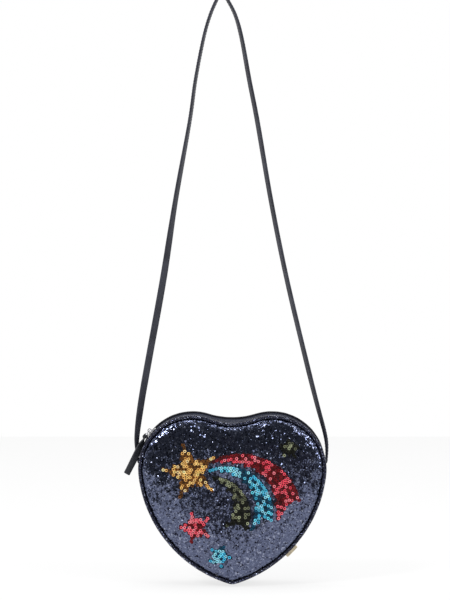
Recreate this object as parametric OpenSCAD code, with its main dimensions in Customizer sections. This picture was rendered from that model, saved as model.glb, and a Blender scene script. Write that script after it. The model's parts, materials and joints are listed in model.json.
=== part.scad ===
// Heart-shaped crossbody bag that hangs by its strap. Millimetres, +Z up, the front faces -Y.
// The origin is the hang point, at the underside of the strap where it passes over a hook.

/* [Heart] */
// Width of the bag across the piping
heart_w = 182; // [172:1:200]
// Radius of the two upper lobes
lobe_r = 52.5; // [50:0.5:56]
// Radius of the hollow between the lobes
dip_r = 78.5; // [65:0.5:95]
// Radius of the long sides
side_r = 124; // [115:1:150]
// Angle below the widest point where a lobe passes into a side
side_join_angle = 4.5; // [2:0.5:8]
// Radius of the tip
tip_r = 6; // [5:0.5:9]
// Width of the gusset from seam to seam
gusset_w = 42; // [38:1:60]

/* [Panels] */
// Thickness of the glitter cloth and the gusset
skin_t = 1.2; // [0.8:0.1:1.6]
// Thickness of the padding behind a panel
foam_t = 2.5; // [1.5:0.1:3]
// Thickness of the lining
lining_t = 0.6; // [0.4:0.1:0.8]
// Width of the rolled edge of a panel
roll_w = 9; // [7:0.5:12]
// Height of the rolled edge of a panel
roll_h = 6; // [4:0.5:8]
// Seam allowance turned into the bag
allowance = 3; // [2.5:0.5:4]
// Diameter of the piping
pipe_d = 3.6; // [3:0.2:4.4]
// Height by which the turned side seams stand out of the gusset
seam_lift = 1; // [0.8:0.1:1.2]
// Width of the turned side seams
seam_w = 2; // [1.5:0.1:3]

/* [Zip] */
// Angle on a lobe at which the side seam and the strap end lie
seam_angle = 8.5; // [7:0.5:11]
// Angle on a lobe at which the zip opening ends
zip_angle = 30; // [27:0.5:32]
// Width of the zip window between the two strips
window_w = 8; // [7.4:0.2:9]
// Width of one zip tape
tape_w = 12; // [10:0.5:13]
// Thickness of a zip tape
tape_t = 0.6; // [0.4:0.1:0.7]
// Width of one row of zip teeth
teeth_w = 2.9; // [2.5:0.1:3.1]
// Height of the zip teeth
teeth_h = 2.2; // [1.8:0.1:2.4]
// Distance along the zip from its end to the middle of the closed slider
slider_rest = 9.6; // [8.8:0.1:12]
// Length of the slider
slider_l = 11; // [9:0.5:12]
// Width of the slider
slider_w = 8.6; // [8:0.2:9.4]
// Thickness of the slider's plates
plate_t = 1; // [0.8:0.1:1.2]

/* [Pull] */
// Inner radius of the slider's bridge
bridge_r = 1.3; // [1.25:0.05:1.5]
// Wall of the slider's bridge
bridge_t = 0.7; // [0.6:0.1:0.9]
// Width of the slider's bridge
bridge_w = 1.2; // [1:0.1:1.3]
// Wire diameter of the pull ring
wire_d = 1.2; // [1:0.1:1.3]
// Length of the pull ring between its bars
ring_l = 8; // [7.5:0.5:9]
// Width of the pull ring between its sides
ring_w = 5.6; // [5.4:0.1:6.4]
// Angle at which the ring is turned towards the front
ring_yaw = 35; // [33:1:38]
// Length of the leather tab
tab_l = 41; // [36:1:44]
// Width of the leather tab
tab_w = 6.4; // [5.6:0.2:7]
// Thickness of the leather tab
tab_t = 2.2; // [1.8:0.1:2.4]
// Width of the tab's neck in the ring
neck_w = 4; // [3.4:0.1:4]

/* [Strap] */
// Width of the strap
strap_w = 8; // [6:0.5:8]
// Thickness of the strap
strap_t = 2.2; // [1.6:0.1:2.4]
// Height of the hang point above the strap ends
strap_drop = 448; // [380:1:520]
// Inner radius of the bend over the hook
hook_r = 3.4; // [2.5:0.1:5]
// Distance of the hang point to the left of the middle of the bag
hang_shift = 10; // [6:1:14]
// Gap between the gusset and the strap ends that are sewn to its side seams
end_gap = 1.2; // [0.6:0.1:1.6]

/* [Label] */
// Width of the blank label along the seam
label_w = 14; // [10:1:18]
// Length by which the label stands out of the seam
label_l = 3; // [3:0.5:7]
// Thickness of the folded label
label_t = 0.8; // [0.6:0.1:1]
// Angle on the right side at which the label lies
label_angle = 44; // [38:1:50]

/* [Sequins] */
// Diameter of a sequin
sequin_d = 3.1; // [2.6:0.1:3.2]
// Diameter of the hole in a sequin
sequin_hole_d = 0.9; // [0.7:0.1:1.1]
// Thickness of a sequin
sequin_t = 0.3; // [0.2:0.05:0.4]
// Distance between neighbouring sequins
sequin_pitch = 3.6; // [3.4:0.1:4.2]

/* [Hidden] */

// Gap between layers of one body, and running clearance between pieces that move
layer_gap = 0.1;
clear = 0.3;
// Overrun of cuts
over = 1;

// Counts of points on each arc of the heart and along the rolled edge
dip_steps = 4;
lobe_steps = 16;
side_steps = 9;
tip_steps = 2;
roll_steps = 5;

// Centres of the heart's arcs, with z = 0 at the top of the lobes
lobe_x = heart_w / 2 - lobe_r;
lobe_z = -lobe_r;
dip_z = lobe_z + sqrt(pow(lobe_r + dip_r, 2) - pow(lobe_x, 2));
side_x = lobe_x - (side_r - lobe_r) * cos(side_join_angle);
side_z = lobe_z + (side_r - lobe_r) * sin(side_join_angle);
dip_angle = 90 + asin(lobe_x / (lobe_r + dip_r));

// Offsets from the outer contour to the seam, the gusset, its lining and the rim of a panel
pipe_r = pipe_d / 2;
gusset_out = -pipe_r;
gusset_in = gusset_out - skin_t;
panel_out = -pipe_d - layer_gap;
gusset_lining_out = panel_out - skin_t - foam_t - lining_t - 3 * layer_gap;

// Places across the bag
seam_y = gusset_w / 2;
gusset_end_y = seam_y - pipe_r;
front_y = seam_y + roll_h;

// Places of the zip, from the gusset's outer face inwards
window_y = window_w / 2;
tape_out = gusset_in - layer_gap;
tape_in = tape_out - tape_t;
teeth_in = tape_in + layer_gap;
teeth_out = teeth_in + teeth_h;
plate_in = teeth_out + clear;
plate_out = plate_in + plate_t;
belly_out = tape_in - clear - layer_gap;
belly_in = belly_out - plate_t;

// The closed slider's place on the left lobe
slider_angle = zip_angle + slider_rest / lobe_r * 180 / PI;

// Bridge and ring: the hinge lies above the plate by the sweep of the turned ring
bar_sweep = ring_w / 2 * sin(ring_yaw);
hinge_out = plate_out + wire_d / 2 + bar_sweep + clear;

// The strap ends lie beside the gusset, clear of it over the whole swing
axis_x = lobe_x + (lobe_r + gusset_out) + end_gap + strap_t / 2;
axis_z = lobe_z + lobe_r * sin(seam_angle);
bow_x = heart_w / 2 + 2 * clear + strap_t / 2;
bag_x = hang_shift;
bag_z = -strap_drop - axis_z;

// Points on an arc, on the outline's right half, and the whole outline offset outwards by d
function arc(x, z, r, a0, a1, n) = [for (i = [0 : n]) let (a = a0 + (a1 - a0) * i / n) [x + r * cos(a), z + r * sin(a)]];
function tip_radius(d) = max(tip_r + d, layer_gap);
function tip_centre_z(d) = side_z - sqrt(pow(side_r + d - tip_radius(d), 2) - pow(side_x, 2));
function side_end(d) = atan2(tip_centre_z(d) - side_z, -side_x);
function right_top(d, a) = concat(
    arc(0, dip_z, dip_r - d, 270, 180 + dip_angle, dip_steps),
    [for (i = [1 : lobe_steps]) let (b = dip_angle + (a - dip_angle) * i / lobe_steps)
        [lobe_x + (lobe_r + d) * cos(b), lobe_z + (lobe_r + d) * sin(b)]]);
function right_low(d, a) = concat(
    [[lobe_x + (lobe_r + d) * cos(a), lobe_z + (lobe_r + d) * sin(a)]],
    arc(side_x, side_z, side_r + d, -side_join_angle, side_end(d), side_steps),
    [for (i = [1 : tip_steps]) let (b = side_end(d) + (-90 - side_end(d)) * i / tip_steps)
        [tip_radius(d) * cos(b), tip_centre_z(d) + tip_radius(d) * sin(b)]]);
function mirrored(p) = [for (i = [len(p) - 1 : -1 : 0]) [-p[i][0], p[i][1]]];
function top_path(d, a) = concat(mirrored(right_top(d, a)), [for (i = [1 : len(right_top(d, a)) - 1]) right_top(d, a)[i]]);
function low_path(d, a) = let (p = right_low(d, a)) concat(p, [for (i = [1 : len(p) - 1]) mirrored(p)[i]]);
function outline(d) = let (t = top_path(d, 0), l = low_path(d, 0))
    concat(t, [for (i = [1 : len(l) - 2]) l[i]]);
function reversed(p) = [for (i = [len(p) - 1 : -1 : 0]) p[i]];
function ring_band(path_out, path_in) = concat(path_out, reversed(path_in));

// Moves the bag's own frame to its place under the hang point
module in_bag() translate([bag_x, 0, bag_z]) children();
// Extrudes a drawing of the heart's plane from y0 to y1
module slab(y0, y1) translate([0, y1, 0]) rotate([90, 0, 0]) linear_extrude(y1 - y0) children();
// Turns the front half into the back half
module to_back() mirror([0, 1, 0]) children();

// A layer of the front panel at depth m behind its face, t thick: rings round the rolled edge, then a flat face
function roll_ring(m, i) = let (a = 90 * i / roll_steps)
    [m + roll_w * (1 - cos(a)), seam_y - m + roll_h * sin(a)];
function panel_rings(m, inset) = concat([[inset, seam_y - allowance]], [for (i = [0 : roll_steps]) roll_ring(m, i)]);
module panel_layer(m, t) {
    rings_out = panel_rings(m, m);
    rings_in = panel_rings(m + t, m + t);
    rings = concat(reversed(rings_out), rings_in);
    n = len(outline(0));
    k = len(rings);
    points = [for (r = rings) each [for (p = outline(panel_out - r[0])) [p[0], -r[1], p[1]]]];
    walls = [for (j = [0 : k - 2]) for (i = [0 : n - 1]) let (a = j * n + i, b = j * n + (i + 1) % n)
        each [[a, a + n, b], [b, a + n, b + n]]];
    polyhedron(points, concat([[for (i = [0 : n - 1]) i]], walls, [[for (i = [n - 1 : -1 : 0]) (k - 1) * n + i]]));
}

module front_panel() color([0.15, 0.17, 0.25]) in_bag() panel_layer(0, skin_t);
module back_panel() color([0.15, 0.17, 0.25]) in_bag() to_back() panel_layer(0, skin_t);
module front_foam() color([0.9, 0.9, 0.86]) in_bag() panel_layer(skin_t + layer_gap, foam_t);
module back_foam() color([0.9, 0.9, 0.86]) in_bag() to_back() panel_layer(skin_t + layer_gap, foam_t);
module front_lining() color([0.2, 0.2, 0.24]) in_bag() panel_layer(skin_t + foam_t + 2 * layer_gap, lining_t);
module back_lining() color([0.2, 0.2, 0.24]) in_bag() to_back() panel_layer(skin_t + foam_t + 2 * layer_gap, lining_t);

// Piping: a round cord along the seam, whose sections follow the outline at every offset
pipe_sides = 8;
module piping() {
    n = len(outline(0));
    points = [for (k = [0 : pipe_sides - 1]) let (a = 360 * k / pipe_sides)
        each [for (p = outline(pipe_r * (cos(a) - 1))) [p[0], -seam_y + pipe_r * sin(a), p[1]]]];
    faces = [for (k = [0 : pipe_sides - 1]) for (i = [0 : n - 1])
        let (a = k * n + i, b = k * n + (i + 1) % n, c = (k + 1) % pipe_sides * n + i, d = (k + 1) % pipe_sides * n + (i + 1) % n)
        each [[a, b, c], [b, d, c]]];
    polyhedron(points, faces);
}
module front_piping() color([0.1, 0.11, 0.17]) in_bag() piping();
module back_piping() color([0.1, 0.11, 0.17]) in_bag() to_back() piping();

// Gusset: the lower band, the plain tabs at both ends of the zip, and the two strips beside the zip
module band(path_out, path_in, y0, y1) slab(y0, y1) polygon(ring_band(path_out, path_in));
seam_gap_angle = layer_gap / lobe_r * 180 / PI;
module lower_gusset() color([0.12, 0.13, 0.2]) in_bag()
    band(low_path(gusset_out, seam_angle - seam_gap_angle), low_path(gusset_in, seam_angle - seam_gap_angle),
        -gusset_end_y, gusset_end_y);
module gusset_lining() color([0.2, 0.2, 0.24]) in_bag() {
    w = seam_y - skin_t - foam_t - lining_t - 4 * layer_gap;
    band(low_path(gusset_lining_out, seam_angle), low_path(gusset_lining_out - lining_t, seam_angle), -w, w);
}
function lobe_path(d, a0, a1) = [for (i = [0 : lobe_steps]) let (a = a0 + (a1 - a0) * i / lobe_steps)
    [lobe_x + (lobe_r + d) * cos(a), lobe_z + (lobe_r + d) * sin(a)]];
module gusset_tab() slab(-gusset_end_y, gusset_end_y) {
    polygon(ring_band(lobe_path(gusset_out, seam_angle, zip_angle), lobe_path(gusset_in, seam_angle, zip_angle)));
    turned_angle = seam_angle + seam_w / lobe_r * 180 / PI;
    polygon(ring_band(lobe_path(gusset_out + seam_lift, seam_angle, turned_angle), lobe_path(gusset_in, seam_angle, turned_angle)));
}
module gusset_tab_right() color([0.13, 0.14, 0.22]) in_bag() gusset_tab();
module gusset_tab_left() color([0.13, 0.14, 0.22]) in_bag() mirror([1, 0, 0]) gusset_tab();
module zip_strip() band(top_path(gusset_out, zip_angle + seam_gap_angle), top_path(gusset_in, zip_angle + seam_gap_angle),
    -gusset_end_y, -window_y);
module zip_strip_front() color([0.13, 0.14, 0.22]) in_bag() zip_strip();
module zip_strip_back() color([0.13, 0.14, 0.22]) in_bag() to_back() zip_strip();

// Zip: tapes, rows of teeth from stop to stop, and the stops
tape_y = teeth_w + layer_gap;
tape_overlap_angle = 5;
tape_angle = zip_angle - tape_overlap_angle;
module zip_tape() band(top_path(tape_out, tape_angle), top_path(tape_in, tape_angle), -tape_y - tape_w, -tape_y);
module zip_tape_front() color([0.08, 0.08, 0.12]) in_bag() zip_tape();
module zip_tape_back() color([0.08, 0.08, 0.12]) in_bag() to_back() zip_tape();

// The nose of the slider holds its post, which parts the rows just beyond the closed teeth
nose_angle = (slider_l / 2) / lobe_r * 180 / PI;
post_l = 2.4;
post_w = 1.2;
post_angle = slider_angle - nose_angle + (post_l + clear) / lobe_r * 180 / PI;
stop_l = 2;
teeth_right_angle = zip_angle + (stop_l + 2 * clear) / lobe_r * 180 / PI;
function zip_line(d, a_left, a_right) = concat(mirrored(right_top(d, a_left)),
    [for (i = [1 : len(right_top(d, a_right)) - 1]) right_top(d, a_right)[i]]);
module zip_teeth() band(zip_line(teeth_out, post_angle, teeth_right_angle),
    zip_line(teeth_in, post_angle, teeth_right_angle), -teeth_w, -layer_gap / 2);
module zip_teeth_front() color([0.1, 0.1, 0.15]) in_bag() zip_teeth();
module zip_teeth_back() color([0.1, 0.1, 0.15]) in_bag() to_back() zip_teeth();

// Places a piece on the left lobe: +X runs down the lobe towards the side seam, +Z points outwards
module on_left_lobe(angle, d = 0) translate([-lobe_x, 0, lobe_z]) rotate([0, angle - 90, 0])
    translate([0, 0, lobe_r + d]) mirror([1, 0, 0]) children();
module zip_stops() color("silver") in_bag() {
    stop_h = teeth_h - layer_gap;
    for (side = [-1, 1]) {
        on_left_lobe(zip_angle + stop_l / lobe_r * 180 / PI, teeth_in)
            translate([-stop_l / 2, side * teeth_w / 2 + side * layer_gap - teeth_w / 2, 0]) cube([stop_l, teeth_w, stop_h]);
    }
    mirror([1, 0, 0]) on_left_lobe(zip_angle + (stop_l / 2 + clear) / lobe_r * 180 / PI, teeth_in)
        translate([-stop_l / 2, -teeth_w, 0]) cube([stop_l, 2 * teeth_w, stop_h]);
}

// Slider: an upper and a lower plate with folded edges, joined by a post, with a bridge on top
flange_w = 0.8;
flange_h = clear;
module rounded_plate(l, w, h) linear_extrude(h) hull()
    for (x = [-1, 1], y = [-1, 1]) translate([x * (l / 2 - flange_w), y * (w / 2 - flange_w)]) circle(flange_w, $fn = 24);
module zip_slider() color("silver") in_bag() on_left_lobe(slider_angle) {
    sag = lobe_r - sqrt(pow(lobe_r, 2) - pow(slider_l / 2, 2));
    post_x = slider_l / 2 - post_l;
    translate([0, 0, plate_in]) rounded_plate(slider_l, slider_w, plate_t);
    translate([0, 0, belly_in - sag]) rounded_plate(slider_l, slider_w, plate_t);
    for (side = [-1, 1]) translate([-slider_l / 2 + flange_w, side * (slider_w - flange_w) / 2 - flange_w / 2, plate_in - flange_h])
        cube([slider_l - 2 * flange_w, flange_w, flange_h + plate_t / 2]);
    translate([post_x, -post_w / 2, belly_in - sag + plate_t / 2])
        cube([post_l - flange_w, post_w, plate_in - belly_in + sag]);
    difference() {
        union() {
            translate([-bridge_r - bridge_t, -bridge_w / 2, plate_out - plate_t / 2])
                cube([2 * (bridge_r + bridge_t), bridge_w, hinge_out - plate_out + plate_t / 2]);
            translate([0, 0, hinge_out]) rotate([90, 0, 0]) cylinder(h = bridge_w, r = bridge_r + bridge_t, center = true, $fn = 32);
        }
        translate([0, 0, hinge_out]) rotate([90, 0, 0]) cylinder(h = bridge_w + over, r = bridge_r, center = true, $fn = 32);
        translate([-bridge_r, -bridge_w / 2 - over / 2, plate_out])
            cube([2 * bridge_r, bridge_w + over, hinge_out - plate_out]);
    }
}

// Pull ring: a rectangular wire link, turned towards the front, from the bridge to the tab
module wire(p, q) let (v = q - p, l = norm(v)) translate(p) rotate([0, acos(v[2] / l), atan2(v[1], v[0])])
    cylinder(h = l, r = wire_d / 2, $fn = 24);
module pull_ring() color("silver") in_bag() on_left_lobe(slider_angle, hinge_out) rotate([0, 0, -ring_yaw]) {
    corners = [[0, -ring_w / 2, 0], [ring_l, -ring_w / 2, 0], [ring_l, ring_w / 2, 0], [0, ring_w / 2, 0]];
    for (i = [0 : 3]) {
        wire(corners[i], corners[(i + 1) % 4]);
        translate(corners[i]) sphere(wire_d / 2, $fn = 24);
    }
}

// A solid swept through rings of eight points, and the eight points of a strip with bevelled edges
module swept(rings) {
    k = len(rings);
    walls = [for (j = [0 : k - 2]) for (i = [0 : 7]) let (a = j * 8 + i, b = j * 8 + (i + 1) % 8)
        each [[a, b, a + 8], [b, b + 8, a + 8]]];
    polyhedron([for (r = rings) each r],
        concat([[for (i = [7 : -1 : 0]) i]], walls, [[for (i = [0 : 7]) (k - 1) * 8 + i]]));
}
function strip_section(half, t) = let (c = min(t, half) / 2)
    [[half, t - c], [half - c, t], [c - half, t], [-half, t - c], [-half, c - t], [c - half, -t], [half - c, -t], [half, c - t]];

// Pull tab: a folded strip whose eye wraps the far bar, swept with a lean to the front and a twist
eye_play = clear / 2;
eye_r = wire_d / 2 + eye_play + tab_t / 2;
tab_drop_angle = 14;
tab_twist = 68;
// Rows along the tab: share of its length, lean as a share of its length, share of its width, share of the twist
tab_shares = [[0.03, 0, 0.5, 0], [0.08, 0.02, 0.54, 0.1], [0.16, 0.038, 0.8, 0.45], [0.28, 0.045, 1, 0.8],
    [0.42, 0.04, 1, 0.95], [0.60, 0.02, 1, 1], [0.80, -0.01, 1, 1], [1, -0.045, 1, 1]];
function tab_section(s) = let (a = tab_twist * s[3])
    [for (p = reversed(strip_section(tab_w * s[2] / 2, tab_t / 2)))
        [tab_l * s[0], -tab_l * s[1] + p[0] * cos(a) + p[1] * sin(a), p[1] * cos(a) - p[0] * sin(a)]];
module pull_tab() color([0.18, 0.18, 0.19]) in_bag() on_left_lobe(slider_angle, hinge_out) rotate([0, 0, -ring_yaw])
    translate([ring_l, 0, 0]) {
        difference() {
            rotate([90, 0, 0]) cylinder(h = neck_w, r = eye_r, center = true, $fn = 32);
            rotate([90, 0, 0]) cylinder(h = neck_w + over, r = wire_d / 2 + eye_play, center = true, $fn = 32);
        }
        rotate([0, tab_drop_angle, ring_yaw / 2]) swept([for (s = tab_shares) tab_section(s)]);
    }

// Side label: a blank folded band that stands out of the front seam, on the outside of the gusset
module side_label() color([0.9, 0.86, 0.78]) in_bag() {
    half = label_w / side_r * 90 / PI;
    y0 = -gusset_end_y + layer_gap;
    band(arc(side_x, side_z, side_r + label_l, -label_angle - half, -label_angle + half, side_steps),
        arc(side_x, side_z, side_r + gusset_out + layer_gap, -label_angle - half, -label_angle + half, side_steps),
        y0, y0 + label_t);
}

// Strap: one band from side seam to side seam over the hook. Rows give the share of the drop, the share of the
// span from the hang point to the bow beside the bag, and the share of the twist
strap_twist = 34;
apex_angle = 28;
left_leg_shares = [[0.04, 0.136, 0.35], [0.09, 0.214, 0.35], [0.18, 0.309, 0.4], [0.27, 0.378, 0.5], [0.44, 0.544, 0.8],
    [0.61, 0.688, 1], [0.79, 0.865, 1], [0.88, 0.95, 0.7], [0.955, 1, 0.1]];
right_leg_shares = [[0.04, 0.123, 0.4], [0.09, 0.184, 0.55], [0.18, 0.256, 0.65], [0.27, 0.333, 0.7], [0.44, 0.461, 0.7],
    [0.61, 0.611, 0.7], [0.79, 0.798, 0.6], [0.88, 0.905, 0.3], [0.955, 0.996, 0]];
strap_end_steps = 4;
function leg(rows, side) = [for (r = rows)
    [side * r[1] * (bow_x + side * bag_x), -r[0] * strap_drop, r[2] * strap_twist]];
function foot(side) = [bag_x + side * axis_x, -strap_drop, 0];
bend_r = hook_r + strap_t / 2;
apex = [for (i = [0 : 4]) let (a = 180 - apex_angle - (180 - 2 * apex_angle) * i / 4)
    [bend_r * cos(a), -hook_r + bend_r * sin(a), left_leg_shares[0][2] * strap_twist]];
knots = concat([foot(-1)], reversed(leg(left_leg_shares, -1)), apex, leg(right_leg_shares, 1), [foot(1)]);
function knot(i) = knots[max(0, min(len(knots) - 1, i))];
function smooth(i, t) = let (a = knot(i - 1), b = knot(i), c = knot(i + 1), d = knot(i + 2))
    b + t * (c - a) / 2 + t * t * (a - 2.5 * b + 2 * c - d / 2) + t * t * t * (1.5 * (b - c) + (d - a) / 2);
route = concat([for (i = [0 : len(knots) - 2]) for (t = [0, 0.5]) smooth(i, t)], [knot(len(knots) - 1)]);
function end_ring(side, i) = let (b = 84 * i / strap_end_steps)
    [bag_x + side * axis_x, -strap_drop - strap_w / 2 * sin(b), strap_w / 2 * cos(b)];
function strap_section(p, v, half, twist) = let (n = [v[1], -v[0]] / norm(v))
    [for (q = strip_section(half, strap_t / 2))
        let (m = q[0] * sin(twist) + q[1] * cos(twist), y = q[0] * cos(twist) - q[1] * sin(twist))
        [p[0] + n[0] * m, y, p[1] + n[1] * m]];
function strap_end(side, i) = let (e = end_ring(side, i)) strap_section([e[0], e[1]], [0, -side], e[2], 0);
function strap_ring(i) = let (n = len(route), a = route[max(i - 1, 0)], b = route[min(i + 1, n - 1)],
        v = i == 0 ? [0, 1] : i == n - 1 ? [0, -1] : [b[0] - a[0], b[1] - a[1]])
    strap_section([route[i][0], route[i][1]], v, strap_w / 2, route[i][2]);
module strap() color([0.2, 0.2, 0.25]) swept(concat(
    [for (i = [strap_end_steps : -1 : 1]) strap_end(-1, i)],
    [for (i = [0 : len(route) - 1]) strap_ring(i)],
    [for (i = [1 : strap_end_steps]) strap_end(1, i)]));

// Sequin figures: flat sequins on the face of the front panel. Places across and sizes are shares of half the heart's
// width, places down are shares of its height
unit = heart_w / 2;
heart_h = tip_r - tip_centre_z(0);
module sequins(places, level) {
    y1 = -front_y - layer_gap - level * (sequin_t + layer_gap);
    for (p = places) translate([p[0], 0, p[1]]) slab(y1 - sequin_t, y1) difference() {
        circle(d = sequin_d, $fn = 24);
        circle(d = sequin_hole_d, $fn = 16);
    }
}
// Places inside a five-pointed star with outer radius r, inner radius q and one point at angle a
star_arms = 5;
function star_reach(r, q, b) = let (h = 180 / star_arms) r * q * sin(h) / (q * sin(h) * cos(b) + (r - q * cos(h)) * sin(b));
function star_fold(a) = let (h = 180 / star_arms, b = (a + 720 + h) % (2 * h)) abs(b - h);
function star_places(x, z, r, q, turn) = let (n = ceil(r / sequin_pitch), row = sequin_pitch * sin(60))
    [for (j = [-n - 1 : n + 1]) for (i = [-n - 1 : n + 1])
        let (px = (i + (abs(j) % 2) / 2) * sequin_pitch, pz = j * row, reach = norm([px, pz]))
        if (reach < star_reach(r, q, star_fold(atan2(pz, px) - turn))) [x + px, z + pz]];
module star(shares, turn, level) sequins(star_places(shares[0] * unit, -shares[1] * heart_h,
    shares[2] * unit, shares[3] * unit, turn), level);
// Rows: place across and down, outer radius, inner radius
gold_star_shares = [-0.446, 0.325, 0.302, 0.125];
red_star_shares = [-0.385, 0.648, 0.168, 0.086];
blue_star_shares = [-0.135, 0.817, 0.12, 0.064];
black_star_shares = [0.60, 0.192, 0.10, 0.06];
module gold_star() color([0.85, 0.6, 0.25]) in_bag() star(gold_star_shares, 104, 1);
module red_star() color([0.9, 0.3, 0.35]) in_bag() star(red_star_shares, 108, 0);
module blue_star() color([0.2, 0.65, 0.8]) in_bag() star(blue_star_shares, 64, 0);
module black_star() color([0.25, 0.27, 0.2]) in_bag() star(black_star_shares, 90, 0);

// Places in a comet tail: lanes inside an outer arc, which widen it from a point and end in a slanted fork
function tail_end(s, v) = v < 0.5 ? s[5] + (s[6] - s[5]) * 2 * v : s[6] + (s[7] - s[6]) * (2 * v - 1);
function tail_places(s) = let (r = s[2] * unit, w = s[3] * unit)
    [for (k = [0 : floor(w / sequin_pitch)])
        let (d = k * sequin_pitch, lane_r = r - d, turn = sequin_pitch / lane_r * 180 / PI, end = tail_end(s, d / w))
        for (i = [0 : floor((s[4] - end) / turn)])
            let (a = s[4] - (i + (k % 2) / 2) * turn, reach = min(1, (s[4] - a) / (s[4] - s[5])))
            if (a >= end && d <= w * pow(reach, tail_growth))
                [s[0] * unit + lane_r * cos(a), lane_r * sin(a) - s[1] * heart_h]];
// How soon a tail gets its full width
tail_growth = 0.75;
// Rows: centre across and down, outer radius and width, then the angles of its point, outer prong, notch and inner prong
red_tail_shares = [0.085, 0.575, 0.632, 0.235, 117, 14, 12.5, -8];
blue_tail_shares = [-0.065, 0.562, 0.48, 0.19, 111, -11, -5, -50];
black_tail_shares = [-0.221, 0.575, 0.393, 0.2, 86, -24, -18, -38];
module red_tail() color([0.9, 0.3, 0.35]) in_bag() sequins(tail_places(red_tail_shares), 0);
module blue_tail() color([0.2, 0.65, 0.8]) in_bag() sequins(tail_places(blue_tail_shares), 1);
module black_tail() color([0.25, 0.27, 0.2]) in_bag() sequins(tail_places(black_tail_shares), 2);

strap();
front_panel();
front_foam();
front_lining();
front_piping();
back_panel();
back_foam();
back_lining();
back_piping();
lower_gusset();
gusset_lining();
gusset_tab_left();
gusset_tab_right();
zip_strip_front();
zip_strip_back();
zip_tape_front();
zip_tape_back();
zip_teeth_front();
zip_teeth_back();
zip_stops();
zip_slider();
pull_ring();
pull_tab();
side_label();
gold_star();
red_star();
blue_star();
black_star();
red_tail();
blue_tail();
black_tail();
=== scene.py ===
# Looks of the heart-shaped crossbody bag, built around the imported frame. Metres, +Z up, the front faces -Y.
import json
import math
import random

import bmesh
import bpy
import numpy as np
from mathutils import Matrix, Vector, noise
from mathutils.bvhtree import BVHTree


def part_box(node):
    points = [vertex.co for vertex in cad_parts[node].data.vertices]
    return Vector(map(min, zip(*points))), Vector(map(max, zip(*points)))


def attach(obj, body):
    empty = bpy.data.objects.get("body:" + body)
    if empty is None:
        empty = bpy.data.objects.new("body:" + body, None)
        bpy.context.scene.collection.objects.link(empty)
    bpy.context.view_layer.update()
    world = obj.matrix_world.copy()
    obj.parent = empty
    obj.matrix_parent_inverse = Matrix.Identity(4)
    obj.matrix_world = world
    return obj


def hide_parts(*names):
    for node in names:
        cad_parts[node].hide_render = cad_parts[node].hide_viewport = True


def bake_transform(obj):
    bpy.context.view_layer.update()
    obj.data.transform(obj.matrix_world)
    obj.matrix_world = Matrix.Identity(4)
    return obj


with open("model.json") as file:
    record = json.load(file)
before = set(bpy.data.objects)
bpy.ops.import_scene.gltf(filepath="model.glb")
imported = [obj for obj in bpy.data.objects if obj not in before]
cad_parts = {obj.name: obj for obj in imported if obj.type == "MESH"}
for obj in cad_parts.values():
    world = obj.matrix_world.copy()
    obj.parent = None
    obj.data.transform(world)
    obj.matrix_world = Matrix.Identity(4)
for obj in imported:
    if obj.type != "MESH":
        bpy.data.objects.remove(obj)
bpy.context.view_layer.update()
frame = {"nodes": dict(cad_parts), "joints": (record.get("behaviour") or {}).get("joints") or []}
MM = 0.001

# Places read from the frame
joints = {joint["name"]: joint for joint in frame["joints"]}
SWING = Vector(joints["bag_swing"]["pos_m"])
LOBE = Vector(joints["zip_slide"]["pos_m"])
HINGE = Vector(joints["ring_swing"]["pos_m"])
FAR_BAR = Vector(joints["tab_swing"]["pos_m"])
TAB_AXIS = Vector(joints["tab_swing"]["axis"]).normalized()
pipe_low, pipe_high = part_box("front_piping")
face_low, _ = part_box("front_panel")

# Sizes of the heart, as in the part's source
BAG_X = SWING.x
HEART_W = pipe_high.x - pipe_low.x
PIPE_R = (pipe_high.y - pipe_low.y) / 2
SEAM_Y = -(pipe_high.y + pipe_low.y) / 2
FACE_Y = -face_low.y
LOBE_R = 52.5 * MM
DIP_R = 78.5 * MM
SIDE_R = 125 * MM
TIP_R = 12 * MM
JOIN = math.radians(6.5)
SEAM_ANGLE = math.radians(8.5)
ZIP_ANGLE = math.radians(30)
SLIDER_ANGLE = math.atan2(HINGE.z - LOBE.z, LOBE.x - HINGE.x)
SKIN_T = 1.2 * MM
ROLL_W = 9 * MM
LAYER_GAP = 0.1 * MM
WINDOW_Y = 4 * MM
GUSSET_OUT = -PIPE_R
PANEL_OUT = -2 * PIPE_R - LAYER_GAP
GUSSET_END_Y = SEAM_Y - PIPE_R
LOBE_X = HEART_W / 2 - LOBE_R
LOBE_Z = LOBE.z
TOP_Z = LOBE_Z + LOBE_R
UNIT = HEART_W / 2

# Centres of the heart's arcs
DIP_Z = LOBE_Z + math.sqrt((LOBE_R + DIP_R) ** 2 - LOBE_X**2)
DIP_ANGLE = math.pi / 2 + math.asin(LOBE_X / (LOBE_R + DIP_R))
SIDE_X = LOBE_X - (SIDE_R - LOBE_R) * math.cos(JOIN)
SIDE_Z = LOBE_Z + (SIDE_R - LOBE_R) * math.sin(JOIN)
BOTTOM_Z = pipe_low.z
TOP_STEP = 0.8 * MM


def arc(cx, cz, r, a0, a1, n, first=0):
    """Points from angle a0 to a1 round a centre in the heart's plane."""
    angles = [a0 + (a1 - a0) * i / n for i in range(first, n + 1)]
    return [(cx + r * math.cos(a), cz + r * math.sin(a)) for a in angles]


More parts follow.
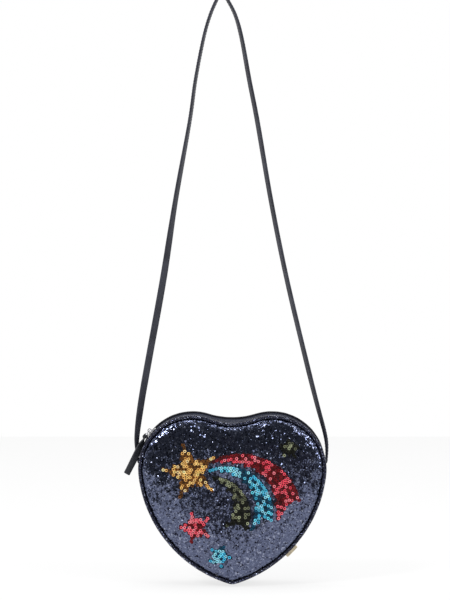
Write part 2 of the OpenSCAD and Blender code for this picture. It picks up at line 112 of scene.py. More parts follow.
def right_half(d, fine=1.0):
    """The heart's right half from the dip to the tip, moved outwards by d."""
    tip_r = max(TIP_R + d, 0.2 * MM)
    tip_z = SIDE_Z - math.sqrt((SIDE_R + d - tip_r) ** 2 - SIDE_X**2)
    side_end = math.atan2(tip_z - SIDE_Z, -SIDE_X)
    steps = [round(n * fine) for n in (12, 50, 60, 6)]
    points = arc(0, DIP_Z, DIP_R - d, 1.5 * math.pi, math.pi + DIP_ANGLE, steps[0])
    points += arc(LOBE_X, LOBE_Z, LOBE_R + d, DIP_ANGLE, -JOIN, steps[1], 1)
    points += arc(SIDE_X, SIDE_Z, SIDE_R + d, -JOIN, side_end, steps[2], 1)
    points += arc(0, tip_z, tip_r, side_end, -math.pi / 2, steps[3], 1)
    return points


def outline(d, fine=1.0):
    """The closed heart, moved outwards by d, clockwise from the dip, as an array of x and z."""
    half = right_half(d, fine)
    mirrored = [(-x, z) for x, z in half[-2:0:-1]]
    return np.array([(BAG_X + x, z) for x, z in half + mirrored])


def top_line(d, a_left, a_right):
    """The line along the top from an angle on the left lobe over the dip to one on the right lobe."""
    def half(a):
        n = max(2, round((DIP_ANGLE - a) * LOBE_R / TOP_STEP))
        points = arc(0, DIP_Z, DIP_R - d, 1.5 * math.pi, math.pi + DIP_ANGLE, round(24 * MM / TOP_STEP))
        return points + arc(LOBE_X, LOBE_Z, LOBE_R + d, DIP_ANGLE, a, n, 1)
    left = [(-x, z) for x, z in half(a_left)[:0:-1]]
    return np.array([(BAG_X + x, z) for x, z in left + half(a_right)])


def low_line(d, a):
    """The line from the right side seam, at angle a, round the tip to the left side seam."""
    seam = (LOBE_X + (LOBE_R + d) * math.cos(a), LOBE_Z + (LOBE_R + d) * math.sin(a))
    whole = right_half(d)
    half = [seam] + [p for p in whole if p[1] < seam[1] and p[0] > 0]
    return np.array([(BAG_X + x, z) for x, z in half + [whole[-1]] + [(-x, z) for x, z in half[::-1]]])


def add_mesh(name, points, faces, material, smooth=True):
    """A new mesh object in the scene from points and faces, with its one material."""
    mesh = bpy.data.meshes.new(name)
    mesh.from_pydata([tuple(p) for p in points], [], faces)
    mesh.validate()
    mesh.materials.append(material)
    obj = bpy.data.objects.new(name, mesh)
    bpy.context.scene.collection.objects.link(obj)
    if smooth:
        mesh.polygons.foreach_set("use_smooth", [True] * len(mesh.polygons))
    return obj


def strip_faces(rows, cols, close_cols=False, close_rows=False, start=0):
    """Quads of a grid whose points lie row after row."""
    faces = []
    for r in range(rows if close_rows else rows - 1):
        for c in range(cols if close_cols else cols - 1):
            r1, c1 = (r + 1) % rows, (c + 1) % cols
            faces.append((start + r * cols + c, start + r * cols + c1, start + r1 * cols + c1, start + r1 * cols + c))
    return faces


def face_outwards(obj):
    """Turns all normals outwards."""
    bm = bmesh.new()
    bm.from_mesh(obj.data)
    bmesh.ops.recalc_face_normals(bm, faces=bm.faces)
    bm.to_mesh(obj.data)
    bm.free()


def apply_modifiers(obj):
    """Writes the result of an object's modifiers into its mesh."""
    depsgraph = bpy.context.evaluated_depsgraph_get()
    mesh = bpy.data.meshes.new_from_object(obj.evaluated_get(depsgraph))
    obj.modifiers.clear()
    obj.data = mesh


def subdivided(obj):
    """One level of smoothing, written into the mesh."""
    obj.modifiers.new("smooth", "SUBSURF").levels = 1
    apply_modifiers(obj)
    obj.data.polygons.foreach_set("use_smooth", [True] * len(obj.data.polygons))
    return obj


# Materials, all procedural, measured in metres
def srgb(r, g, b):
    """A colour written 0 to 255 as linear RGBA."""
    def linear(v):
        v /= 255
        return v / 12.92 if v <= 0.04045 else ((v + 0.055) / 1.055) ** 2.4
    return (linear(r), linear(g), linear(b), 1.0)


def node(tree, kind, inputs=None, **settings):
    """A shader node whose inputs are linked or set."""
    made = tree.nodes.new("ShaderNode" + kind)
    for key, value in settings.items():
        setattr(made, key, value)
    for key, value in (inputs or {}).items():
        if isinstance(value, bpy.types.NodeSocket):
            tree.links.new(value, made.inputs[key])
        else:
            made.inputs[key].default_value = value
    return made


def new_material(name):
    """A material with its node tree, its shader and a place in the object's own metres."""
    material = bpy.data.materials.new(name)
    material.use_nodes = True
    tree = material.node_tree
    shader = tree.nodes["Principled BSDF"]
    place = node(tree, "TexCoord").outputs["Object"]
    return material, tree, shader, place


def mixed(tree, factor, a, b, blend="MIX"):
    """The colour that a Mix node makes of a and b, each a colour or a socket."""
    made = node(tree, "Mix", data_type="RGBA", blend_type=blend)
    for name, kind, value in (("Factor", "VALUE", factor), ("A", "RGBA", a), ("B", "RGBA", b)):
        target = next(i for i in made.inputs if i.name == name and i.type == kind)
        if isinstance(value, bpy.types.NodeSocket):
            tree.links.new(value, target)
        else:
            target.default_value = value
    return next(o for o in made.outputs if o.type == "RGBA")


def ramp(tree, factor, *stops, hard=False):
    """A colour ramp from (place, colour) stops."""
    made = node(tree, "ValToRGB", {"Fac": factor})
    made.color_ramp.interpolation = "CONSTANT" if hard else "LINEAR"
    elements = made.color_ramp.elements
    while len(elements) < len(stops):
        elements.new(0.5)
    for element, (place, colour) in zip(elements, stops):
        element.position = place
        element.color = colour
    return made.outputs["Color"]


def grey(v):
    return (v, v, v, 1)


def leather(name, dark, light, grain=0.0011, depth=0.00006, rough=0.5, coat=0.0, shine=0.4):
    """Coated leather: pebbled grain with painted shade in its grooves, faint creases and a slow change of tone."""
    material, tree, shader, place = new_material(name)
    cells = node(tree, "TexVoronoi", {"Vector": place, "Scale": 1 / grain}, feature="SMOOTH_F1")
    fine = node(tree, "TexNoise", {"Vector": place, "Scale": 3 / grain, "Detail": 4.0})
    slow = node(tree, "TexNoise", {"Vector": place, "Scale": 45.0, "Detail": 3.0, "Roughness": 0.6})
    tone = mixed(tree, ramp(tree, slow.outputs["Fac"], (0.35, grey(0)), (0.65, grey(1))), dark, light)
    # The grain's tops are lightened and its grooves darkened, following the bump: painted shade in the grooves.
    tone_with_painted_groove_shade = mixed(tree, 0.25, tone, ramp(tree, cells.outputs["Distance"], (0.0, light), (0.6, dark)))
    tree.links.new(tone_with_painted_groove_shade, shader.inputs["Base Color"])
    low = node(tree, "Bump", {"Height": cells.outputs["Distance"], "Distance": depth, "Strength": 0.8}, invert=True)
    high = node(tree, "Bump", {"Height": fine.outputs["Fac"], "Distance": depth / 2, "Strength": 0.6,
                               "Normal": low.outputs["Normal"]})
    tree.links.new(high.outputs["Normal"], shader.inputs["Normal"])
    shader.inputs["Roughness"].default_value = rough
    shader.inputs["Coat Weight"].default_value = coat
    shader.inputs["Coat Roughness"].default_value = 0.35
    shader.inputs["Specular IOR Level"].default_value = shine
    return material


def glitter_material(name, flake, flat, wild, edge, share, waves, tones, bare=0.0, coat=0.0):
    """Foil flakes of size flake on wavy cloth, in tones.

    They lean by flat, a share of them by up to wild, and all of them by edge where the panel rolls over.
    Cells whose chance is below bare carry no foil.
    """
    material, tree, shader, place = new_material(name)
    big = node(tree, "TexVoronoi", {"Vector": place, "Scale": 1 / flake, "Randomness": 1.0})
    small = node(tree, "TexVoronoi", {"Vector": place, "Scale": 1.9 / flake, "Randomness": 1.0})
    pick = node(tree, "SeparateColor", {"Color": big.outputs["Color"]})
    on_top = node(tree, "Math", {0: pick.outputs["Blue"], 1: 0.5}, operation="GREATER_THAN").outputs["Value"]
    chance = mixed(tree, on_top, small.outputs["Color"], big.outputs["Color"])
    part = node(tree, "SeparateColor", {"Color": chance})
    tree.links.new(ramp(tree, part.outputs["Green"], *tones, hard=True), shader.inputs["Base Color"])
    centred = node(tree, "VectorMath", {0: chance, 1: (0.5, 0.5, 0.5)}, operation="SUBTRACT").outputs["Vector"]
    loose = node(tree, "MapRange", {"Value": part.outputs["Red"], "From Min": 1 - share, "From Max": 1.0,
                                    "To Min": flat, "To Max": wild}).outputs["Result"]
    geometry = node(tree, "NewGeometry").outputs["Normal"]
    faced = node(tree, "Math", {0: node(tree, "SeparateXYZ", {"Vector": geometry}).outputs["Y"]}, operation="ABSOLUTE")
    rolled = node(tree, "MapRange", {"Value": faced.outputs["Value"], "From Min": 0.97, "From Max": 0.8,
                                     "To Min": loose, "To Max": edge}).outputs["Result"]
    lean = node(tree, "VectorMath", {0: centred, "Scale": rolled}, operation="SCALE").outputs["Vector"]
    cloth = node(tree, "TexNoise", {"Vector": place, "Scale": 230.0, "Detail": 2.0}).outputs["Fac"]
    tip = node(tree, "MapRange", {"Value": cloth, "From Min": 0.3, "From Max": 0.7, "To Min": -waves, "To Max": waves})
    swayed = node(tree, "CombineXYZ", {"Z": tip.outputs["Result"]}).outputs["Vector"]
    turned = node(tree, "VectorMath", {0: geometry, 1: lean}, operation="ADD").outputs["Vector"]
    turned = node(tree, "VectorMath", {0: turned, 1: swayed}, operation="ADD").outputs["Vector"]
    normal = node(tree, "VectorMath", {0: turned}, operation="NORMALIZE").outputs["Vector"]
    tree.links.new(normal, shader.inputs["Normal"])
    rough = node(tree, "MapRange", {"Value": part.outputs["Blue"], "To Min": 0.07, "To Max": 0.17})
    tree.links.new(rough.outputs["Result"], shader.inputs["Roughness"])
    foiled = node(tree, "Math", {0: part.outputs["Green"], 1: bare}, operation="GREATER_THAN").outputs["Value"]
    tree.links.new(foiled, shader.inputs["Metallic"])
    shader.inputs["Specular IOR Level"].default_value = 0.1
    shader.inputs["Coat Weight"].default_value = coat
    shader.inputs["Coat Roughness"].default_value = 0.22
    return material


def metal(name, colour, rough=0.22):
    """Plated metal with fine scratches and a little dulling."""
    material, tree, shader, place = new_material(name)
    marks = node(tree, "TexNoise", {"Vector": place, "Scale": 900.0, "Detail": 6.0, "Distortion": 1.5})
    patches = node(tree, "TexNoise", {"Vector": place, "Scale": 180.0, "Detail": 3.0})
    tree.links.new(mixed(tree, patches.outputs["Fac"], colour, tuple(0.82 * c for c in colour[:3]) + (1,)),
                   shader.inputs["Base Color"])
    dulled = node(tree, "MapRange", {"Value": marks.outputs["Fac"], "To Min": rough * 0.6, "To Max": rough * 1.6})
    tree.links.new(dulled.outputs["Result"], shader.inputs["Roughness"])
    bump = node(tree, "Bump", {"Height": marks.outputs["Fac"], "Distance": 0.00002, "Strength": 0.4})
    tree.links.new(bump.outputs["Normal"], shader.inputs["Normal"])
    shader.inputs["Metallic"].default_value = 1.0
    return material


def woven(name, dark, light, pitch=0.0007, rough=0.8, sheen=0.3):
    """A tight weave with warp and weft ribs and flecks of tone."""
    material, tree, shader, place = new_material(name)
    across = node(tree, "TexWave", {"Vector": place, "Scale": 0.31 / pitch, "Distortion": 0.6, "Detail": 1.0,
                                    "Detail Scale": 3.0}, bands_direction="DIAGONAL")
    along = node(tree, "TexWave", {"Vector": place, "Scale": 0.31 / pitch, "Distortion": 0.5}, bands_direction="Y")
    weave = mixed(tree, 1.0, across.outputs["Color"], along.outputs["Color"], "MULTIPLY")
    slow = node(tree, "TexNoise", {"Vector": place, "Scale": 60.0, "Detail": 4.0})
    tone = mixed(tree, slow.outputs["Fac"], dark, light)
    tree.links.new(mixed(tree, 0.35, tone, mixed(tree, 1.0, tone, weave, "MULTIPLY")), shader.inputs["Base Color"])
    bump = node(tree, "Bump", {"Height": weave, "Distance": pitch / 8, "Strength": 0.7})
    tree.links.new(bump.outputs["Normal"], shader.inputs["Normal"])
    shader.inputs["Roughness"].default_value = rough
    shader.inputs["Sheen Weight"].default_value = sheen
    return material


def sequin_material(name):
    """Foil that takes each sequin's colour, with its painted highlights and painted shade, from the mesh's colour
    attribute.
    """
    material, tree, shader, place = new_material(name)
    # The tone attribute holds each sequin's colour with its painted light and painted shade.
    tone = node(tree, "VertexColor", layer_name="tone").outputs["Color"]
    film = node(tree, "TexNoise", {"Vector": place, "Scale": 1500.0, "Detail": 3.0})
    tree.links.new(mixed(tree, 0.15, tone, mixed(tree, 1.0, tone, film.outputs["Color"], "MULTIPLY")),
                   shader.inputs["Base Color"])
    bump = node(tree, "Bump", {"Height": film.outputs["Fac"], "Distance": 0.00003, "Strength": 0.5})
    tree.links.new(bump.outputs["Normal"], shader.inputs["Normal"])
    shader.inputs["Metallic"].default_value = 0.15
    shader.inputs["Specular IOR Level"].default_value = 0.2
    shader.inputs["Roughness"].default_value = 0.32
    return material


# Colours
NAVY_DARK, NAVY_LIGHT = srgb(30, 33, 46), srgb(46, 50, 66)
FLAKES = ((0.0, srgb(84, 90, 114)), (0.30, srgb(93, 100, 125)), (0.60, srgb(104, 111, 137)),
          (0.78, srgb(42, 45, 60)), (0.90, srgb(142, 148, 170)))
PIPING_FLAKES = ((0.0, srgb(24, 25, 37)), (0.40, srgb(36, 37, 52)), (0.70, srgb(70, 74, 98)),
                 (0.90, srgb(156, 162, 184)))

glitter = glitter_material("navy_glitter", flake=0.0014, flat=0.16, wild=0.9, edge=0.7, share=0.13, waves=0.08,
                           tones=FLAKES)
fine_glitter = glitter_material("piping_glitter", flake=0.0012, flat=0.4, wild=1.2, edge=1.0, share=0.5, waves=0.0,
                                tones=PIPING_FLAKES, bare=0.70, coat=0.1)
navy_leather = leather("navy_coated_leather", srgb(35, 38, 53), srgb(43, 46, 62), rough=0.42, shine=0.3)
strip_leather = leather("navy_strip_leather", NAVY_DARK, NAVY_LIGHT, rough=0.6, shine=0.04)
black_leather = leather("black_piping_leather", srgb(14, 15, 21), srgb(28, 29, 38), grain=0.0009, rough=0.45, shine=0.1)
strap_leather = leather("strap_leather", srgb(36, 37, 46), srgb(58, 60, 70), grain=0.0008, rough=0.5, shine=0.3)
tab_leather = leather("tab_leather", srgb(34, 35, 40), srgb(54, 56, 62), grain=0.0007, rough=0.5)
thread = woven("navy_thread", srgb(24, 27, 44), srgb(48, 54, 78), pitch=0.0004, rough=0.6)
lining_cloth = woven("grey_lining", srgb(92, 94, 106), srgb(124, 126, 138), pitch=0.0006)
foam_white = woven("white_foam", srgb(204, 204, 198), srgb(226, 226, 220), pitch=0.0014, rough=0.9)
tape_cloth = woven("navy_tape", srgb(30, 33, 52), srgb(50, 54, 76), pitch=0.0006, sheen=0.0)
label_cloth = woven("label_satin", srgb(222, 204, 168), srgb(244, 230, 200), pitch=0.0004, rough=0.55)
nylon = leather("zip_nylon", srgb(40, 43, 62), srgb(66, 70, 90), grain=0.0006, depth=0.00001, rough=0.4, shine=0.12)
silver = metal("silver_plate", srgb(206, 206, 210))
foil = sequin_material("sequin_foil")


def capped(rows, cols, start=0):
    """Faces of a tube of rows rings with cols points each, with a cap at both ends."""
    last = start + (rows - 1) * cols
    return strip_faces(rows, cols, close_cols=True, start=start) + [
        tuple(start + j for j in reversed(range(cols))), tuple(last + j for j in range(cols))]


def band(name, section, line, material):
    """A strip along a line of the heart: section holds (offset from the outline, y) pairs in a loop."""
    rings = [line(d) for d, y in section]
    n, m = len(rings[0]), len(section)
    points = [(rings[j][i][0], section[j][1], rings[j][i][1]) for i in range(n) for j in range(m)]
    obj = add_mesh(name, points, capped(n, m), material)
    face_outwards(obj)
    return obj


def wavy(p, size, height, seed=0):
    """Smooth noise at a point: size is the wave's length, height its reach."""
    return height * noise.noise(Vector(p) / size + Vector((seed * 7.3, seed * 3.1, seed * 5.7)))


def slab_section(y0, y1, d_out, thick, fold, n=10, sag=0.0):
    """The cut through a strip of gusset between two seams; fold rounds its edges, sag hollows its middle."""
    def hollow(y):
        return -sag * math.sin(math.pi * (y - y0) / (y1 - y0))
    ys = [y0 + (y1 - y0) * (0.5 - 0.5 * math.cos(math.pi * i / n)) for i in range(n + 1)]
    upper = [(d_out + hollow(y) - fold * (1 if i in (0, n) else 0.35 if i in (1, n - 1) else 0), y)
             for i, y in enumerate(ys)]
    lower = [(d_out - thick + hollow(y) + fold * (0.6 if i in (0, n) else 0), y) for i, y in enumerate(ys)]
    return upper + lower[::-1]


def piping(name, node_name, side, material, radius=PIPE_R):
    """The covered cord sewn in round the whole heart."""
    n, turns = len(outline(0, 2)), 16
    centre = outline(-PIPE_R, 2)
    ahead = np.roll(centre, -1, 0) - np.roll(centre, 1, 0)
    out = np.stack([-ahead[:, 1], ahead[:, 0]], 1) / np.linalg.norm(ahead, axis=1)[:, None]
    points = []
    for i, (x, z) in enumerate(centre):
        for j in range(turns):
            a = 2 * math.pi * j / turns
            r = radius + wavy((x, 0.05 * j, z), 0.006, 0.00012, 1)
            w, h = r * math.cos(a), r * math.sin(a)
            points.append((x + out[i, 0] * w, side * SEAM_Y + h, z + out[i, 1] * w))
    obj = lowered_dip(add_mesh(name, points, strip_faces(n, turns, True, True), material))
    face_outwards(obj)
    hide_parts(node_name)
    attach(obj, "bag_body")
    return obj


CENTRE = np.array((BAG_X, TOP_Z - 72 * MM))
PANEL_FINE, ROLL_ROWS, FACE_ROWS = 0.65, 8, 22
WAVE_SIZE, WAVE_H, WAVE_LEAST = 0.011, 0.0009, -0.3 * MM
SWELL_FRAMES, SWELL_KEPT = 20, (0.4, 1.0, 0.4)
DIP_DROP, PANEL_DROP = 1.5 * MM, 1.1 * MM


def panel_rows(side, fine, dome):
    """Rings of the padded panel from the rim in the seam over the rolled edge to the middle."""
    roll_h = FACE_Y - SEAM_Y
    rows = [(PANEL_OUT, SEAM_Y - 3 * MM), (PANEL_OUT + 0.3 * MM, SEAM_Y - 1.2 * MM)]
    for i in range(ROLL_ROWS):
        a = math.pi / 2 * i / ROLL_ROWS
        rows.append((PANEL_OUT - ROLL_W * (1 - math.cos(a)), SEAM_Y + roll_h * math.sin(a)))
    rings = [np.column_stack([outline(d, fine), np.full(len(outline(d, fine)), y)]) for d, y in rows]
    last = outline(PANEL_OUT - ROLL_W, fine)
    for i in range(FACE_ROWS):
        s = 1 - i / FACE_ROWS
        ring = CENTRE + (last - CENTRE) * s
        rings.append(np.column_stack([ring, np.full(len(ring), FACE_Y + dome * (1 - s**2))]))
    return [np.column_stack([r[:, 0], side * r[:, 2], r[:, 1]]) for r in rings]


def soft_panel(name, node_name, side, material, dome, cap):
    """A padded panel: its rim is held in the seam while pressure swells the cloth. The rolled edge is wavy."""
    rings = panel_rows(side, PANEL_FINE, dome)
    n = len(rings[0])
    points = np.concatenate(rings)
    for k in range(2 * n, (2 + ROLL_ROWS) * n):
        pull = math.sin(math.pi * (k // n - 1) / 12)
        wave = wavy(points[k] * (1, 0, 1), WAVE_SIZE, WAVE_H, 2 + side)
        points[k, 1] += side * pull * max(WAVE_LEAST, wave)
    middle = (CENTRE[0], side * (FACE_Y + dome), CENTRE[1])
    faces = strip_faces(len(rings), n, close_cols=True)
    first = (len(rings) - 1) * n
    faces += [(first + i, first + (i + 1) % n, len(points)) for i in range(n)]
    obj = add_mesh(name, list(points) + [middle], faces, material)
    face_outwards(obj)
    if sum(p.normal.y for p in obj.data.polygons) * side < 0:
        obj.data.flip_normals()
    swell(obj, range(3 * n), cap)
    subdivided(lowered_dip(obj, PANEL_DROP))
    shell = obj.modifiers.new("skin", "SOLIDIFY")
    shell.thickness, shell.offset = SKIN_T, -1
    apply_modifiers(obj)
    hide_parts(node_name)
    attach(obj, "bag_body")
    return obj


def swell(obj, held, cap):
    """Cloth under pressure. Its result is scaled: no point moves further than cap, and sideways it keeps less."""
    before = np.empty(3 * len(obj.data.vertices))
    obj.data.vertices.foreach_get("co", before)
    group = obj.vertex_groups.new(name="held")
    group.add(list(held), 1.0, "REPLACE")
    cloth = obj.modifiers.new("cloth", "CLOTH")
    settings = cloth.settings
    settings.vertex_group_mass = "held"
    settings.quality = 6
    settings.mass = 0.15
    settings.tension_stiffness = settings.compression_stiffness = 20
    settings.bending_stiffness = 1.5
    settings.use_pressure = True
    settings.uniform_pressure_force = 4
    settings.shrink_min = -0.012
    settings.effector_weights.gravity = 0
    cloth.collision_settings.use_collision = False
    cloth.point_cache.frame_start, cloth.point_cache.frame_end = 1, SWELL_FRAMES
    scene = bpy.context.scene
    for number in range(1, SWELL_FRAMES + 1):
        scene.frame_set(number)
    apply_modifiers(obj)
    scene.frame_set(1)
    after = np.empty_like(before)
    obj.data.vertices.foreach_get("co", after)
    moved = (after - before).reshape(-1, 3)
    reach = np.linalg.norm(moved, axis=1)
    moved *= min(1.0, cap / max(reach.max(), 1e-9)) * np.array(SWELL_KEPT)
    obj.data.vertices.foreach_set("co", (before.reshape(-1, 3) + moved).ravel())
    obj.data.update()


def lowered_dip(obj, drop=DIP_DROP):
    """The front contour hangs a little lower at the dip: its points move down, less towards the zip and the middle."""
    def fade(v):
        """1 at v = 0, running smoothly to 0 at v = 1."""
        v = min(1.0, max(0.0, v))
        return 1 - v * v * (3 - 2 * v)
    for v in obj.data.vertices:
        x, y, z = v.co
        v.co.z -= drop * fade(abs(x - BAG_X) / 0.034) * fade((y + 20 * MM) / 0.016) * fade((TOP_Z - 0.02 - z) / 0.05)
    return obj


def rides(obj, body, slot, *nodes):
    """Gives a piece its body and hides the frame nodes that it stands for. Its slot is not used."""
    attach(obj, body)
    if nodes:
        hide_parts(*nodes)
    return obj


# Padded panels and their piping
front = soft_panel("soft_front_panel", "front_panel", -1, glitter, dome=1.4 * MM, cap=2.8 * MM)
soft_panel("soft_back_panel", "back_panel", 1, navy_leather, dome=0.6 * MM, cap=2.2 * MM)
piping("glitter_piping_cord", "front_piping", -1, fine_glitter)
piping("black_piping_cord", "back_piping", 1, black_leather, PIPE_R * 0.97)

# Gusset: lower band, end tabs and the two strips beside the zip, each with its edges turned in
band_section = slab_section(-GUSSET_END_Y, GUSSET_END_Y, GUSSET_OUT, SKIN_T, fold=0.5 * MM, n=16, sag=1.4 * MM)
rides(band("soft_lower_gusset", band_section, lambda d: low_line(d, SEAM_ANGLE), strip_leather),
      "bag_body", "smooth_navy", "lower_gusset")


def lobe_line(a0, a1, side, n=14):
    """A function that gives the line on one lobe from angle a0 to a1 at an offset."""
    return lambda d: np.array([(BAG_X + side * (LOBE_X + (LOBE_R + d) * math.cos(a0 + (a1 - a0) * i / n)),
                                LOBE_Z + (LOBE_R + d) * math.sin(a0 + (a1 - a0) * i / n)) for i in range(n + 1)])


for side, word in ((-1, "left"), (1, "right")):
    section = slab_section(-GUSSET_END_Y, GUSSET_END_Y, GUSSET_OUT, SKIN_T, fold=0.5 * MM, n=16, sag=0.9 * MM)
    rides(band(f"sewn_gusset_tab_{word}", section, lobe_line(SEAM_ANGLE, ZIP_ANGLE, side), strip_leather),
          "bag_body", "smooth_navy", f"gusset_tab_{word}")
    section = slab_section(-GUSSET_END_Y, GUSSET_END_Y, GUSSET_OUT + 0.9 * MM, SKIN_T, fold=0.4 * MM, sag=0.3 * MM)
    line = lobe_line(SEAM_ANGLE, SEAM_ANGLE + 2 * MM / LOBE_R, side, 4)
    rides(band(f"turned_side_seam_{word}", section, line, navy_leather), "bag_body", "smooth_navy")
for side, word in ((-1, "front"), (1, "back")):
    section = slab_section(-GUSSET_END_Y, -WINDOW_Y, GUSSET_OUT, SKIN_T, fold=0.55 * MM, n=12, sag=0.4 * MM)
    section = [(d, -side * y) for d, y in section]
    strip = band(f"sewn_zip_strip_{word}", section, lambda d: top_line(d, ZIP_ANGLE, ZIP_ANGLE), strip_leather)
    rides(lowered_dip(strip), "bag_body", "smooth_navy", f"zip_strip_{word}")


def sweep(name, frames, sections, material, closed=False):
    """A solid along frames of (centre, side, up): sections are loops of (along side, along up)."""
    n, m = len(frames), len(sections[0])
    points = [c + s * p[0] + u * p[1] for (c, s, u), section in zip(frames, sections) for p in section]
    faces = strip_faces(n, m, close_cols=True, close_rows=True) if closed else capped(n, m)
    obj = add_mesh(name, points, faces, material)
    face_outwards(obj)
    return obj


def loop_section(half, t, r, n=3, crown=0.0):
    """A flat band's cut: half its width, half its thickness t, edges rounded by r, its middle raised by crown."""
    points = []
    for sx, sz, a0 in ((1, 1, 0), (-1, 1, 90), (-1, -1, 180), (1, -1, 270)):
        for i in range(n + 1):
            a = math.radians(a0 + 90 * i / n)
            points.append((sx * (half - r) + r * math.cos(a), sz * (t - r) + r * math.sin(a)))
        if a0 in (0, 180):
            points += [(sx * half * k, sz * (t + crown)) for k in (0.45, 0, -0.45)]
    return points


STITCH_RINGS, STITCH_SIDES, STITCH_LIFT = 5, 6, 0.08 * MM


def thread_run(name, places, out, body, pitch=2.6 * MM, length=1.9 * MM, r=0.22 * MM):
    """Stitches along places with their directions out: each is a short bowed length of thread."""
    points, faces = [], []
    travelled = [0.0]
    for a, b in zip(places, places[1:]):
        travelled.append(travelled[-1] + (b - a).length)

    def at(s):
        i = min(max(int(np.searchsorted(travelled, s)) - 1, 0), len(places) - 2)
        t = (s - travelled[i]) / max(travelled[i + 1] - travelled[i], 1e-9)
        return places[i].lerp(places[i + 1], t), out[i].lerp(out[i + 1], t).normalized()

    count = int(travelled[-1] / pitch)
    for k in range(count):
        start = len(points)
        s0 = pitch * (k + 0.5) - length / 2 + (travelled[-1] - count * pitch) / 2
        for j in range(STITCH_RINGS):
            share = j / (STITCH_RINGS - 1)
            p, o = at(s0 + length * share)
            q, _ = at(s0 + length * share + 0.2 * MM)
            ahead = (q - p).normalized()
            sideways = ahead.cross(o).normalized()
            lift = STITCH_LIFT + r * (0.9 * math.sin(math.pi * share) - 0.9)
            thick = r * (0.55 + 0.45 * math.sin(math.pi * share))
            for i in range(STITCH_SIDES):
                a = 2 * math.pi * i / STITCH_SIDES
                points.append(p + o * (lift + thick * math.sin(a)) + sideways * (thick * math.cos(a)))
        faces += capped(STITCH_RINGS, STITCH_SIDES, start)
    obj = add_mesh(name, points, faces, thread)
    face_outwards(obj)
    if body:
        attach(obj, body)
    return obj


def along_top(d, y, a0=ZIP_ANGLE, a1=ZIP_ANGLE):
    """Places and outward directions along the top of the bag."""
    low, high = top_line(d, a0, a1), top_line(d + MM, a0, a1)
    places = [Vector((x, y, z)) for x, z in low]
    outs = [Vector((b[0] - a[0], 0, b[1] - a[1])).normalized() for a, b in zip(low, high)]
    return places, outs


for side, word in ((-1, "front"), (1, "back")):
    places, outs = along_top(GUSSET_OUT - 0.15 * MM, side * (WINDOW_Y + 1.9 * MM))
    thread_run(f"zip_strip_thread_{word}", places, outs, "bag_body")

# Zip: a coil of bent teeth on each side, closed over its whole length beyond the slider
POST_ANGLE = SLIDER_ANGLE - math.radians(3.1)
STOP_ANGLE = ZIP_ANGLE + math.radians(2.8)


COIL_PITCH, COIL_DEPTH, COIL_SIDES = 1.5 * MM, 2.5 * MM, 7
TOOTH = ((2.75, 0.42, -0.30), (1.9, 0.50, 0.0), (0.9, 0.50, 0.05), (0.1, 0.62, 0.02), (-0.5, 0.40, -0.12))


def coil(name, side, node_name):
    """One row of teeth: TOOTH holds (distance from the middle, radius, lift) of a tooth's rings in mm."""
    places, outs = along_top(-COIL_DEPTH, 0, POST_ANGLE, STOP_ANGLE)
    travelled = np.concatenate([[0], np.cumsum([(b - a).length for a, b in zip(places, places[1:])])])
    points, faces = [], []
    for k in range(int((travelled[-1] - COIL_PITCH) / COIL_PITCH)):
        s = COIL_PITCH * (k + (0.75 if side > 0 else 0.25))
        i = min(int(np.searchsorted(travelled, s)), len(places) - 1)
        t = (s - travelled[i - 1]) / (travelled[i] - travelled[i - 1]) if i else 0
        centre, out = places[i - 1].lerp(places[i], t), outs[i - 1].lerp(outs[i], t)
        ahead = Vector((out.z, 0, -out.x))
        start = len(points)
        for y, r, lift in TOOTH:
            for j in range(COIL_SIDES):
                a = 2 * math.pi * j / COIL_SIDES
                points.append(centre + Vector((0, side * y * MM, 0)) + out * ((lift + 1.25 * r * math.sin(a)) * MM)
                              + ahead * (1.12 * r * math.cos(a) * MM))
        faces += capped(len(TOOTH), COIL_SIDES, start)
    obj = add_mesh(name, points, faces, nylon)
    face_outwards(obj)
    return rides(obj, "bag_body", "zip_teeth", node_name)


coil("zip_coil_front", -1, "zip_teeth_front")
coil("zip_coil_back", 1, "zip_teeth_back")


# Strap: one band from seam to seam over the hook, its edges turned in
STRAP_DROP = -SWING.z
STRAP_HALF, STRAP_T = 4 * MM, 1.1 * MM
HOOK_R = 3.4 * MM
TWIST = math.radians(34)
END_X = LOBE_X + LOBE_R + GUSSET_OUT + 1.2 * MM + STRAP_T
BOW_X = UNIT + 0.6 * MM + STRAP_T
LEFT_SHARES = [(0.04, 0.136, 0.35), (0.09, 0.214, 0.35), (0.18, 0.309, 0.4), (0.27, 0.378, 0.5), (0.44, 0.544, 0.85),
               (0.61, 0.688, 1.35), (0.79, 0.865, 1.4), (0.88, 0.95, 1.35), (0.955, 1, 0.8)]
RIGHT_SHARES = [(0.04, 0.123, 0.4), (0.09, 0.184, 0.55), (0.18, 0.256, 0.65), (0.27, 0.333, 0.7), (0.44, 0.461, 0.7),
                (0.61, 0.611, 0.75), (0.79, 0.798, 0.75), (0.88, 0.897, 0.65), (0.955, 0.982, 0.45)]


def smooth_rows(rows, steps):
    """Rows of numbers with others between them on smooth curves through all of them."""
    rows = [np.array(r, float) for r in rows]
    out = []
    for i in range(len(rows) - 1):
        a, b, c, d = rows[max(i - 1, 0)], rows[i], rows[i + 1], rows[min(i + 2, len(rows) - 1)]
        for k in range(steps):
            t = k / steps
            out.append(b + t * (c - a) / 2 + t * t * (a - 2.5 * b + 2 * c - d / 2)
                       + t**3 * (1.5 * (b - c) + (d - a) / 2))
    return out + [rows[-1]]


